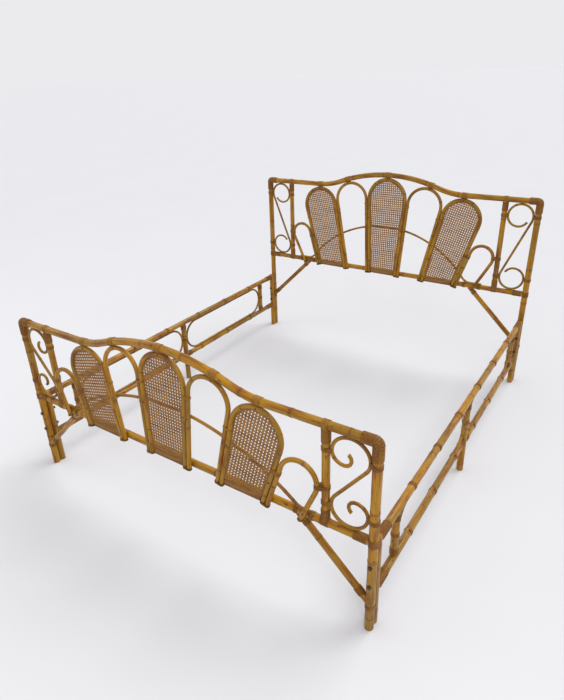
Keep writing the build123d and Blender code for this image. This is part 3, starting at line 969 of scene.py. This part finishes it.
sleeve = round_end("stock_sleeve", sleeve_sides, sleeve_radius)
for _ in range(int(sleeve_length / turn_pitch)):
    draw_out(groove_share * turn_pitch, 1 / (1 - groove_depth))
    draw_out((1 - 2 * groove_share) * turn_pitch, 1.0)
    draw_out(groove_share * turn_pitch, 1 - groove_depth)
close_up()
print("stock sleeve", len(sleeve.data.vertices), "points")

# %% [markdown]
# A tie is cut from the sleeve between two turns. Where it holds a second cane, the half of it
# that faces that cane is moved over it, which leaves the straight stretches that a taut strip
# has. Most ties are one of two lengths.

# %% Wind a tie
strip_depth, narrow_tie, wide_tie = 0.0015, 0.016, 0.028


def cut_sleeve(length, radius, shift=0.0):
    turn = random.randint(0, int((sleeve_length - length) / turn_pitch) - 1)
    # A cut at the stock's own end would put a second face on the one that is there.
    start = turn_pitch * max(1, turn)
    piece = cut_from(sleeve, start, length, radius / sleeve_radius, shift)
    note_grain(piece, random.randint(0, 900) * turn_pitch)
    return piece


def pull_over(piece, way, distance, radius, second_radius):
    """Move the half of the sleeve that faces the second cane out over it."""
    edge = radius * (radius - second_radius) / distance + 1e-5
    edit_points(piece, [point.co.y * way > edge for point in piece.data.vertices])
    thin = second_radius / radius
    bpy.ops.transform.resize(value=(1, thin, thin), center_override=(0, 0, 0))
    bpy.ops.transform.translate(value=(0, way * distance, 0))
    leave()


def tie(origin, along, toward, length, radius, *others, strip=strip_finish):
    """A tie round a cane, and round others at (distance, radius) along toward."""
    along = Vector(along).normalized()
    toward = Vector(toward)
    toward = (toward - along * toward.dot(along)).normalized()
    piece = cut_sleeve(length, radius + strip_depth, -length / 2)
    piece.data.materials.append(strip)
    for distance, second in others:
        way = math.copysign(1, distance)
        pull_over(piece, way, abs(distance), radius + strip_depth, second + strip_depth)
    return lay(piece, Matrix.Translation(origin) @ turned(along, toward, along.cross(toward)))


def past(radius, length):
    """From a cane's axis to the middle of a tie that starts 1 mm beside the cane."""
    return radius + length / 2 + 0.001


print("ties can be wound")

# %% [markdown]
# A post and the top rail meet under one long winding that goes round the corner. It is the same
# sleeve, bent by a path with a small round.

# %% Corner winding
corner_bend, corner_run, corner_drop = 0.013, 0.052, 0.062
corner_radius = post_radius + 0.002


def corner_winding(board, side):
    x, level = half_width, board["height"] - board["low"]
    turn = arc((x - corner_bend, level - corner_bend), corner_bend, 90, -90, 9)
    points = other_side([(x - corner_run, level), *turn, (x, level - corner_drop)], side)
    piece = cut_sleeve(path_length(points), corner_radius)
    piece.data.materials.append(strip_finish)
    return lay(bend(piece, points), board_plane(board))


print("corners can be wound, along", corner_run, "m of the rail and", corner_drop, "m of the post")

# %% [markdown]
# Small round nails hold the thin arc rod where each leg crosses it, and the crowns of the
# arches. A nail is a flattened dome, modelled once and copied. It gets an empty grain attribute,
# because it is joined to ties that have one.

# %% Nails
bpy.ops.object.select_all(action="DESELECT")
bpy.ops.mesh.primitive_uv_sphere_add(segments=10, ring_count=6, radius=0.0033)
nail = bpy.context.object
nail.name = "stock_nail"
edit(nail)
bpy.ops.transform.resize(value=(1, 1, 0.5), center_override=(0, 0, 0))
leave()
nail.data.attributes.new("grain", "FLOAT_VECTOR", "POINT")
nail.data.materials.append(nail_finish)


def drive_nail(board, side, u, v):
    """A nail at a place of the arch plane, on the front of the arch cane there."""
    return lay(copy_of(nail), arch_plane(board, -arch_radius) @ Matrix.Translation((side * u, v, 0)))


def nail_places(board):
    """Where the legs of one side cross the arc rod."""
    rod_points, places = bow_points(board), []
    for foot, lean in [leg for pair in arch_legs(board).values() for leg in pair if leg[0] > 0]:
        slope = math.tan(math.radians(lean))
        over = [(u, v) for u, v in rod_points if u > 0 and u > foot + v * slope]
        if over:
            v = max(over[0][1], over[-1][1])
            places.append((foot + v * slope, v))
    return places


print("nail", len(nail.data.polygons), "faces,", len(nail_places(boards["foot"])), "places a side")

# %% [markdown]
# A band round the top rail and a nail hold the crown of each of the five arches that reach it.
# Ties hold neighbouring legs to each other, and again at their feet under the low rail. Their
# places follow from the canes that they hold, so they are worked out from the same paths.

# %% Ties of the arches
crown_band, foot_tie, foot_tie_level = 0.030, 0.009, -0.0105
# The length of a tie between two legs, how far it is below the spring of the arch, and its strip.
small_leg_tie, open_leg_tie = (narrow_tie, 0.004, strip_finish), (0.008, 0.016, pale_finish)


def crown_tie(board, legs, height, side):
    """A band round the top rail where an arch meets it, and a nail through the arch's crown."""
    centre, radius = arch_circle(legs, height)
    touched = nearest(centre, rail_path(board))
    up = (touched - Vector(centre)).normalized()
    u, v = Vector(centre) + radius * up
    crown = arch_plane(board) @ Vector((side * u, v, 0))
    origin = board_plane(board) @ Vector((side * touched.x, touched.y, 0))
    along = Vector((up.y, 0, -side * up.x))
    band = tie(origin, along, crown - origin, crown_band, top_rail_radius, strip=pale_finish)
    return join([band, drive_nail(board, side, u, v)])


def leg_tie(board, leg, height, side, length, strip, alone=False):
    foot, lean = leg[0], math.radians(leg[1])
    leaning = arch_plane(board)
    origin = leaning @ Vector((side * (foot + height * math.tan(lean)), height, 0))
    along = leaning.to_3x3() @ Vector((side * math.sin(lean), math.cos(lean), 0))
    toward = leaning.to_3x3() @ Vector((side * math.cos(lean), -math.sin(lean), 0))
    beside_it = () if alone else ((leg_pitch, arch_radius),)
    return tie(origin, along, toward, length, arch_radius, *beside_it, strip=strip)


def arch_ties(board, side):
    legs, heights = arch_legs(board), arch_heights(board)
    ties = [crown_tie(board, legs[name], heights[name], side) for name in ("open", "side")]
    for inner, outer in (("centre", "open"), ("open", "side"), ("side", "small")):
        (_, spring), _ = arch_circle(legs[outer], heights[outer])
        length, drop, strip = small_leg_tie if outer == "small" else open_leg_tie
        ties.append(leg_tie(board, legs[inner][1], spring - drop, side, length, strip))
    for name in ("centre", "open", "side", "small"):
        # The foot ties get the nearly black strip, which is painted shade from the low rail above them.
        foot = (legs[name][1], foot_tie_level, side, foot_tie, shaded_strip_finish)
        ties.append(leg_tie(board, *foot, alone=name == "small"))
    (x, height), radius = arch_circle(legs["small"], heights["small"])
    touched = arch_plane(board) @ Vector((side * (x + radius), height, 0))
    origin = Vector((side * stile_spread, board["y"], touched.z))
    gap = touched - origin
    ties.append(tie(origin, (0, 0, 1), gap, narrow_tie, stile_radius, (gap.length, arch_radius)))
    return ties


print("the arches can be tied")

# %% [markdown]
# The rails, stiles, posts and braces are tied wherever two of them meet, and the scrolls and the
# arc rod are tied to the poles beside them. The longest windings hide the joints that carry the
# load, at the top and the foot of each stile and where the low rail meets the post.

# %% Ties of the rails, stiles, posts and braces
stile_band, stile_winding, foot_winding = 0.022, 0.046, 0.040
rail_winding, rail_winding_gap = 0.045, 0.005
bow_tie_back, bow_rest, upper_brace_tie, lower_brace_tie = 0.036, 0.027, 0.054, 0.056


def board_ties(board, side):
    y, low, top = board["y"], board["low"], board["height"]
    post, stile = side * half_width, side * stile_spread
    across, up = (1, 0, 0), (0, 0, 1)
    _, _, high, deep = scroll_rounds(board)
    ties = [corner_winding(board, side)]
    for height in (low + high, low + deep):
        for x, radius, way in ((stile, stile_radius, side), (post, post_radius, -side)):
            held = (radius + rod_radius + touch, rod_radius)
            ties.append(tie((x, y, height), up, (way, 0, 0), narrow_tie, radius, held))
    ties.append(tie((stile, y, top), across, up, stile_band, top_rail_radius, strip=pale_finish))
    wound_x = side * (half_width - post_radius - rail_winding_gap - rail_winding / 2)
    bow_foot = side * (board["bow_run"] - bow_tie_back)
    for x, length in ((stile, wide_tie), (wound_x, rail_winding), (bow_foot, narrow_tie)):
        ties.append(tie((x, y, low), across, up, length, low_rail_radius))
    rest_x = side * (board["small_foot"] + bow_rest)
    gap = arch_plane(board, bow_setback) @ Vector((rest_x, bow_level, 0)) - Vector((rest_x, y, low))
    held = (gap.length, rod_radius)
    ties.append(tie((rest_x, y, low), across, gap, narrow_tie, low_rail_radius, held))
    head, foot = past(top_rail_radius, stile_winding), past(low_rail_radius, foot_winding)
    for height, length in ((top - head, stile_winding), (low + foot, foot_winding)):
        ties.append(tie((stile, y, height), up, across, length, stile_radius))
    for height, length in ((low, wide_tie), (board["brace_z"] - narrow_tie / 2, narrow_tie)):
        ties.append(tie((post, y, height), up, across, length, post_radius))
    upper, lower, way = brace_line(board, side)
    ties.append(tie(upper + way * upper_brace_tie, way, (0, 1, 0), narrow_tie, brace_radius))
    ties.append(tie(lower - way * lower_brace_tie, way, (0, 1, 0), wide_tie, brace_radius))
    return ties


for end, board in boards.items():
    ties = [crown_tie(board, arch_legs(board)["centre"], arch_heights(board)["centre"], 1)]
    for side in side_names:
        ties += arch_ties(board, side) + board_ties(board, side)
        ties += [drive_nail(board, side, u, v) for u, v in nail_places(board)]
    finish(join(ties), None, f"{end}_bindings")
    print(end, "ties and nails", len(ties))

# %% [markdown]
# In a side frame the ends of the rails are wound where they meet the uprights, the inner ones are
# wound just inside the two rails, and short ties hold the loops: three along each rail, one at the
# middle leg and one at each inner upright.

# %% Ties of the side frames
end_winding, loop_tie, loop_tie_in = 0.060, 0.014, 0.030


def side_ties(side):
    x, low, top = side * half_width, side_low_rail_height, side_rail_height
    along, up, ties = (0, 1, 0), (0, 0, 1), []
    end, drop = end_upright_y - past(side_upright_radius, end_winding), past(side_rail_radius, wide_tie)
    leg_side = past(side_upright_radius, wide_tie)
    for s in (-1, 1):
        held = (inner_upright_radius + rod_radius + touch, rod_radius)
        origin = (x, s * inner_upright_y, loop_level)
        ties.append(tie(origin, up, (0, -s, 0), narrow_tie, inner_upright_radius, held))
        for y, z, length in ((end, top, end_winding), (end, low, end_winding), (leg_side, low, wide_tie)):
            ties.append(tie((x, s * y, z), along, up, length, side_rail_radius))
        for height in (top - drop, low + drop):
            origin = (x, s * inner_upright_y, height)
            ties.append(tie(origin, up, along, wide_tie, inner_upright_radius))
        held = (side_rail_radius + loop_corner, rod_radius)
        for y in (loop_near + loop_tie_in, loop_seam, loop_far - loop_tie_in):
            for height, way in ((top, -1), (low, 1)):
                origin = (x, s * y, height)
                ties.append(tie(origin, along, (0, 0, way), loop_tie, side_rail_radius, held))
    leg_reach = side_upright_radius + rod_radius + touch
    held = [(way * leg_reach, rod_radius) for way in (-1, 1)]
    ties.append(tie((x, 0, loop_level), up, along, narrow_tie, side_upright_radius, *held))
    ties.append(tie((x, 0, top - drop), up, along, wide_tie, side_upright_radius))
    return ties


for side, word in side_names.items():
    ties = side_ties(side)
    finish(join(ties), None, f"{word}_side_bindings")
    print(word, "side ties", len(ties))

# %% [markdown]
# The webbing in the arches is a six-way weave: pairs of strands up and across, and single ones
# on both slants that cut the corners of each gap, so the gaps look round. One cell of it is
# built from a single strand, a cube flattened to a strip. Its copies are turned into place at four
# levels, so that they cross without cutting each other.

# %% One cell of the weave
strand_width, strand_depth, strand_pair = 0.002604, 0.0008, 0.0020
across_level, upward_level, rising_level, falling_level = 0.0002, -0.0005, 0.0009, -0.0011
slant_share = 1.02 * math.sqrt(0.5)

bpy.ops.object.select_all(action="DESELECT")
bpy.ops.mesh.primitive_cube_add(size=1)
strand = bpy.context.object
strand.name = "stock_strand"
edit(strand)
strand_size = (web_pitch, strand_width, strand_depth)
bpy.ops.transform.resize(value=strand_size, center_override=(0, 0, 0))
leave()


def strand_copy(x, y, z, degrees, share=1.0):
    turn = Matrix.Rotation(math.radians(degrees), 4, "Z") @ Matrix.Diagonal((share, 1, 1, 1))
    return lay(copy_of(strand), Matrix.Translation((x, y, z)) @ turn)


half = web_pitch / 2
strands = []
for offset in (-strand_pair, strand_pair):
    strands.append(strand_copy(0, half + offset, across_level, 0))
    strands.append(strand_copy(half + offset, 0, upward_level, 90))
for sx, sy in ((1, 1), (1, -1), (-1, 1), (-1, -1)):
    slant, level = (-45, rising_level) if sx * sy > 0 else (45, falling_level)
    strands.append(strand_copy(sx * half / 2, sy * half / 2, level, slant, slant_share))
cell = join(strands)
cell.name = "weave_cell"
print("cell", len(cell.data.polygons), "faces")

# %% [markdown]
# Two arrays repeat the cell over more than the arch, and the strands outside it are taken away,
# as a weaver trims the webbing to its frame. A strand may reach a little way into the arch cane,
# which hides its end. Then each point notes its place in the weave, and whether the weave is
# close there.

# %% Repeat the cell over an arch
strand_reach = 0.006


def inside_arch(points, outline, reach):
    """Which points are inside the outline, or no more than reach outside it."""
    outline = np.array(outline)
    inside = np.zeros(len(points), dtype=bool)
    for (x1, y1), (x2, y2) in zip(outline, np.roll(outline, -1, axis=0)):
        crosses = (y1 > points[:, 1]) != (y2 > points[:, 1])
        with np.errstate(divide="ignore", invalid="ignore"):
            at = (x2 - x1) * (points[:, 1] - y1) / (y2 - y1) + x1
        inside ^= crosses & (points[:, 0] < at)
    gap = np.full(len(points), 1.0)
    for start, end in zip(outline[:-1], outline[1:]):
        run = end - start
        share = np.clip(((points - start) @ run) / (run @ run), 0, 1)
        gap = np.minimum(gap, np.linalg.norm(points - start - share[:, None] * run, axis=1))
    return inside | (gap < reach)


def note_weave(piece, close):
    note_grain(piece)
    mark = piece.data.attributes.new("close", "FLOAT", "POINT")
    mark.data.foreach_set("value", [close] * len(mark.data))
    return piece


def field(outline, tilt):
    """The open weave inside an arch, with the strands outside it taken away."""
    piece = copy_of(cell)
    xs, ys = [u for u, _ in outline], [v for _, v in outline]
    columns = int((max(xs) - min(xs)) * 1.25 / web_pitch) + 4
    rows = int((max(ys) - min(ys)) * 1.15 / web_pitch) + 2
    for count, way in ((columns, (web_pitch, 0, 0)), (rows, (0, web_pitch, 0))):
        apply_modifier(
            piece, "ARRAY", count=count, use_relative_offset=False, use_constant_offset=True,
            constant_offset_displace=way,
        )
    middle = ((max(xs) + min(xs)) / 2, (max(ys) + min(ys)) / 2, 0)
    centred = Matrix.Translation((-(columns - 1) * web_pitch / 2, -(rows - 1) * web_pitch / 2, 0))
    lay(piece, Matrix.Translation(middle) @ Matrix.Rotation(tilt, 4, "Z") @ centred)
    points = np.empty(len(piece.data.vertices) * 3)
    piece.data.vertices.foreach_get("co", points)
    kept = inside_arch(points.reshape(-1, 3)[:, :2], outline, strand_reach)
    edit_points(piece, [not k for k in kept])
    bpy.ops.mesh.select_linked()
    bpy.ops.mesh.delete(type="VERT")
    leave()
    return note_weave(piece, 0.0)


print("the cell can be repeated, every", web_pitch, "m")

# %% [markdown]
# Along the arch and along the low rail the weave is beaten close, with no gaps. The border is a
# thin strip bent along the arch, and the hem is a strip across its foot. Both cover the ragged
# edge of the open weave.

# %% Border, hem and panel
border_inside, border_width, web_depth = 0.004, 0.006, 0.0036
hem_top, hem_bottom = 0.016, -0.0115
strip_step, strip_bevel = 0.006, 0.0009


def close_strip(length, wide_start, wide_end):
    steps = max(8, int(length / strip_step))
    bpy.ops.object.select_all(action="DESELECT")
    bpy.ops.mesh.primitive_grid_add(x_subdivisions=steps, y_subdivisions=4, size=1)
    piece = bpy.context.object
    edit(piece)
    bpy.ops.transform.resize(value=(length, wide_end - wide_start, 1), center_override=(0, 0, 0))
    bpy.ops.transform.translate(value=(length / 2, (wide_start + wide_end) / 2, 0))
    leave()
    apply_modifier(piece, "SOLIDIFY", thickness=web_depth, offset=0)
    apply_modifier(piece, "BEVEL", width=strip_bevel, segments=1, limit_method="ANGLE")
    return note_weave(piece, 1.0)


def border(outline):
    strip = close_strip(path_length(outline), border_inside, arch_radius + border_width)
    return bend(strip, outline)


def hem(outline):
    left, right = sorted((outline[0][0], outline[-1][0]))
    return lay(close_strip(right - left, hem_bottom, hem_top), Matrix.Translation((left, 0, 0)))


def panel(board, name, side):
    """The webbing of one arch. Its path runs so that its inside is on its left."""
    legs = arch_legs(board)[name]
    path = arch_path(legs, arch_heights(board)[name], overrun=-hem_bottom)
    path = path[::-1] if side > 0 else other_side(path, side)
    tilt = -side * math.radians((legs[0][1] + legs[1][1]) / 2)
    return lay(join([field(path, tilt), border(path), hem(path)]), arch_plane(board))


for end, board in boards.items():
    for name, side, node in (
        ("centre", 1, "centre_cane"), ("side", -1, "side_cane_left"), ("side", 1, "side_cane_right"),
    ):
        piece = finish(panel(board, name, side), web_finish, f"{end}_{node}")
        print(piece.name, len(piece.data.polygons), "faces")

# %% [markdown]
# The stock pieces have done their work and are removed.

# %% Finish
for stock_piece in (stock, sleeve, nail, strand, cell):
    bpy.data.objects.remove(stock_piece)
